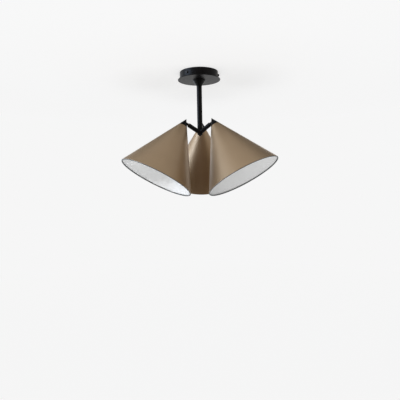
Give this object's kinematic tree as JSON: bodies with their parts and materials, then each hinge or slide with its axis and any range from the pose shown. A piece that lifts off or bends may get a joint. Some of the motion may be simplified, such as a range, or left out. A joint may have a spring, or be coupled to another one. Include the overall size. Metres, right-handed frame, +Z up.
{
  "type": "three-cone ceiling light",
  "caption": "Ceiling light: a flat round canopy, a straight stem, and rising arms that each carry a pointed bronze cone shade on a friction swivel.",
  "frame": {"origin": "centre of the canopy's ceiling face, on the stem's axis", "axes": "+Z up into the ceiling, the viewer of the picture stands on the -Y side, +X to their right"},
  "size_m": [0.4397, 0.4172, 0.3637],
  "materials": {
    "black_paint": "satin black powder coat on steel",
    "black_screw": "black zinc plated steel",
    "bronze_aluminium": "spun aluminium, satin champagne bronze outside and matt white inside",
    "zinc_steel": "bright zinc plated steel",
    "brass_part": "turned brass",
    "white_nylon": "moulded white nylon",
    "black_plastic": "moulded black thermoset",
    "ceramic": "white moulded insulating core",
    "lead_sleeve": "round black insulating sleeve",
    "opal_glass": "opal glass",
    "nickel_cap": "bright rolled screw base"
  },
  "bodies": {
    "body": {"ceiling_plate": "zinc_steel", "side_lugs": "zinc_steel", "canopy_cup": "black_paint", "canopy_disc": "black_paint", "canopy_screws": "black_screw", "earth_screw": "brass_part", "terminal_block": "white_nylon", "terminal_clamps": "brass_part", "stem_collar": "black_paint", "stem": "black_paint", "stem_nipple": "zinc_steel", "stem_washer": "zinc_steel", "stem_nut": "zinc_steel", "hub": "black_paint", "finial": "black_paint", "swivel_bushes": "brass_part", "branch_leads": "lead_sleeve", "left_arm": "black_paint", "right_arm": "black_paint", "back_arm": "black_paint"},
    "left_head": {"left_neck": "black_paint", "left_swivel_nut": "zinc_steel", "left_cap": "black_paint", "left_shade": "bronze_aluminium", "left_shade_nipple": "zinc_steel", "left_shade_nut": "zinc_steel", "left_holder_cap": "black_plastic", "left_holder_skirt": "black_plastic", "left_holder_core": "ceramic", "left_holder_contacts": "brass_part", "left_bulb_glass": "opal_glass", "left_bulb_base": "nickel_cap", "left_head_lead": "lead_sleeve"},
    "right_head": {"right_neck": "black_paint", "right_swivel_nut": "zinc_steel", "right_cap": "black_paint", "right_shade": "bronze_aluminium", "right_shade_nipple": "zinc_steel", "right_shade_nut": "zinc_steel", "right_holder_cap": "black_plastic", "right_holder_skirt": "black_plastic", "right_holder_core": "ceramic", "right_holder_contacts": "brass_part", "right_bulb_glass": "opal_glass", "right_bulb_base": "nickel_cap", "right_head_lead": "lead_sleeve"},
    "back_head": {"back_neck": "black_paint", "back_swivel_nut": "zinc_steel", "back_cap": "black_paint", "back_shade": "bronze_aluminium", "back_shade_nipple": "zinc_steel", "back_shade_nut": "zinc_steel", "back_holder_cap": "black_plastic", "back_holder_skirt": "black_plastic", "back_holder_core": "ceramic", "back_holder_contacts": "brass_part", "back_bulb_glass": "opal_glass", "back_bulb_base": "nickel_cap", "back_head_lead": "lead_sleeve"}
  },
  "joints": [
    {"name": "left_swivel", "type": "hinge", "parent": "body", "child": "left_head", "pos_m": [0, 0, -0.176], "axis": [-0.75, -0.433, 0.5], "range_deg": [-13, 7]},
    {"name": "right_swivel", "type": "hinge", "parent": "body", "child": "right_head", "pos_m": [0, 0, -0.176], "axis": [0.75, -0.433, 0.5], "range_deg": [-13, 7]},
    {"name": "back_swivel", "type": "hinge", "parent": "body", "child": "back_head", "pos_m": [0, 0, -0.176], "axis": [0, 0.866, 0.5], "range_deg": [-15, 5]}
  ]
}
